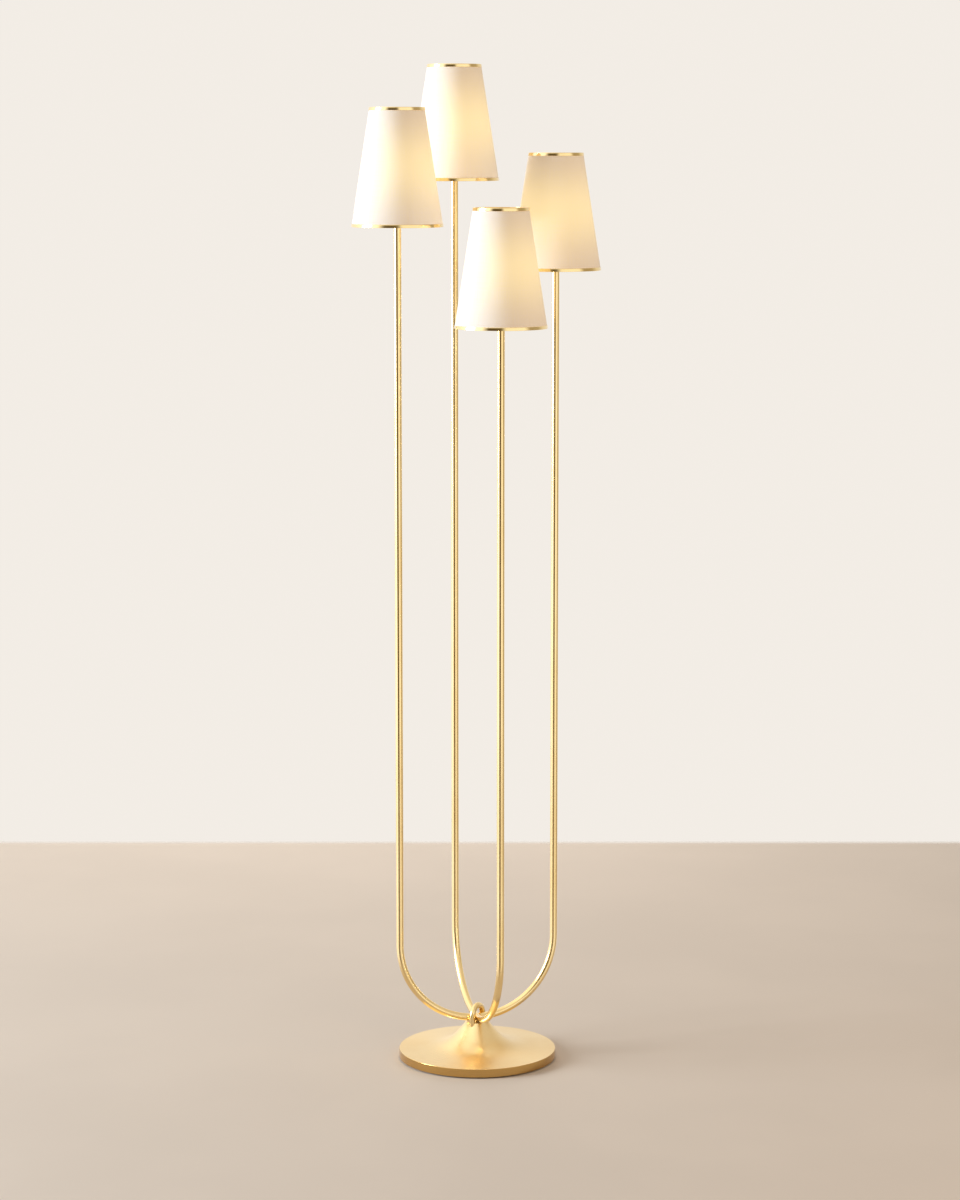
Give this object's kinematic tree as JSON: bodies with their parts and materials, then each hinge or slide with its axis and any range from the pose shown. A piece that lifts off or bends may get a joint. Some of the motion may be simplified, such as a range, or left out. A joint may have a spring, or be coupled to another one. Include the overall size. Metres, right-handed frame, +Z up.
{
  "type": "tree floor lamp",
  "caption": "Tree floor lamp: slim brass uprights of staggered heights bend together under a small arch on a round base, each topped by a tapered fabric shade.",
  "frame": {"origin": "middle of the base's underside, on the floor", "axes": "+Z up, the front towards -Y, the tallest upright at +Y"},
  "size_m": [0.4052, 0.4052, 1.6031],
  "materials": {
    "satin_brass": "satin brushed, lacquered",
    "polished_brass": "polished, lacquered",
    "contact_brass": "bare",
    "cast_iron": "as cast, painted",
    "zinc_steel": "zinc plated",
    "felt": "pressed felt",
    "black_plastic": "moulded",
    "terminal_plastic": "moulded",
    "socket_plastic": "moulded",
    "wire_insulation": "extruded",
    "bulb_glass": "frosted",
    "bulb_cap_metal": "rolled",
    "shade_fabric": "woven, laminated",
    "shade_liner": "smooth translucent"
  },
  "bodies": {
    "stand": {"base_cover": "satin_brass", "base_neck": "satin_brass", "base_weight": "cast_iron", "bottom_plate": "zinc_steel", "felt_pad": "felt", "plate_screws": "zinc_steel", "threaded_rod": "zinc_steel", "rod_nut": "zinc_steel", "rod_washer": "zinc_steel", "cord_inlet": "black_plastic", "terminal_block": "terminal_plastic", "cross_hub": "satin_brass", "binding_arch": "satin_brass", "centre_contacts": "contact_brass", "arm_wires": "wire_insulation", "right_arm_tube": "satin_brass", "right_socket_cup": "satin_brass", "right_socket_body": "socket_plastic", "right_screw_shell": "contact_brass", "rear_arm_tube": "satin_brass", "rear_socket_cup": "satin_brass", "rear_socket_body": "socket_plastic", "rear_screw_shell": "contact_brass", "left_arm_tube": "satin_brass", "left_socket_cup": "satin_brass", "left_socket_body": "socket_plastic", "left_screw_shell": "contact_brass", "front_arm_tube": "satin_brass", "front_socket_cup": "satin_brass", "front_socket_body": "socket_plastic", "front_screw_shell": "contact_brass"},
    "right_shade": {"right_shade_fabric": "shade_fabric", "right_shade_liner": "shade_liner", "right_shade_frame": "polished_brass", "right_shade_top_trim": "polished_brass"},
    "right_ring": {"right_clamp_ring": "socket_plastic"},
    "right_bulb": {"right_bulb_glass": "bulb_glass", "right_bulb_cap": "bulb_cap_metal"},
    "rear_shade": {"rear_shade_fabric": "shade_fabric", "rear_shade_liner": "shade_liner", "rear_shade_frame": "polished_brass", "rear_shade_top_trim": "polished_brass"},
    "rear_ring": {"rear_clamp_ring": "socket_plastic"},
    "rear_bulb": {"rear_bulb_glass": "bulb_glass", "rear_bulb_cap": "bulb_cap_metal"},
    "left_shade": {"left_shade_fabric": "shade_fabric", "left_shade_liner": "shade_liner", "left_shade_frame": "polished_brass", "left_shade_top_trim": "polished_brass"},
    "left_ring": {"left_clamp_ring": "socket_plastic"},
    "left_bulb": {"left_bulb_glass": "bulb_glass", "left_bulb_cap": "bulb_cap_metal"},
    "front_shade": {"front_shade_fabric": "shade_fabric", "front_shade_liner": "shade_liner", "front_shade_frame": "polished_brass", "front_shade_top_trim": "polished_brass"},
    "front_ring": {"front_clamp_ring": "socket_plastic"},
    "front_bulb": {"front_bulb_glass": "bulb_glass", "front_bulb_cap": "bulb_cap_metal"}
  },
  "joints": [
    {"name": "right_shade_lift", "type": "slide", "parent": "stand", "child": "right_shade", "axis": [0, 0, 1], "range_m": [0, 0.15]},
    {"name": "right_ring_turn", "type": "hinge", "parent": "right_shade", "child": "right_ring", "pos_m": [0.13, 0, 1.3097], "axis": [0, 0, 1], "range_deg": [0, 1080]},
    {"name": "right_bulb_turn", "type": "hinge", "parent": "stand", "child": "right_bulb", "pos_m": [0.13, 0, 1.3193], "axis": [0, 0, 1], "range_deg": [0, 1440]},
    {"name": "rear_shade_lift", "type": "slide", "parent": "stand", "child": "rear_shade", "axis": [0, 0, 1], "range_m": [0, 0.15]},
    {"name": "rear_ring_turn", "type": "hinge", "parent": "rear_shade", "child": "rear_ring", "pos_m": [0, 0.13, 1.4497], "axis": [0, 0, 1], "range_deg": [0, 1080]},
    {"name": "rear_bulb_turn", "type": "hinge", "parent": "stand", "child": "rear_bulb", "pos_m": [0, 0.13, 1.4593], "axis": [0, 0, 1], "range_deg": [0, 1440]},
    {"name": "left_shade_lift", "type": "slide", "parent": "stand", "child": "left_shade", "axis": [0, 0, 1], "range_m": [0, 0.15]},
    {"name": "left_ring_turn", "type": "hinge", "parent": "left_shade", "child": "left_ring", "pos_m": [-0.13, 0, 1.3797], "axis": [0, 0, 1], "range_deg": [0, 1080]},
    {"name": "left_bulb_turn", "type": "hinge", "parent": "stand", "child": "left_bulb", "pos_m": [-0.13, 0, 1.3893], "axis": [0, 0, 1], "range_deg": [0, 1440]},
    {"name": "front_shade_lift", "type": "slide", "parent": "stand", "child": "front_shade", "axis": [0, 0, 1], "range_m": [0, 0.15]},
    {"name": "front_ring_turn", "type": "hinge", "parent": "front_shade", "child": "front_ring", "pos_m": [0, -0.13, 1.2267], "axis": [0, 0, 1], "range_deg": [0, 1080]},
    {"name": "front_bulb_turn", "type": "hinge", "parent": "stand", "child": "front_bulb", "pos_m": [0, -0.13, 1.2363], "axis": [0, 0, 1], "range_deg": [0, 1440]}
  ]
}
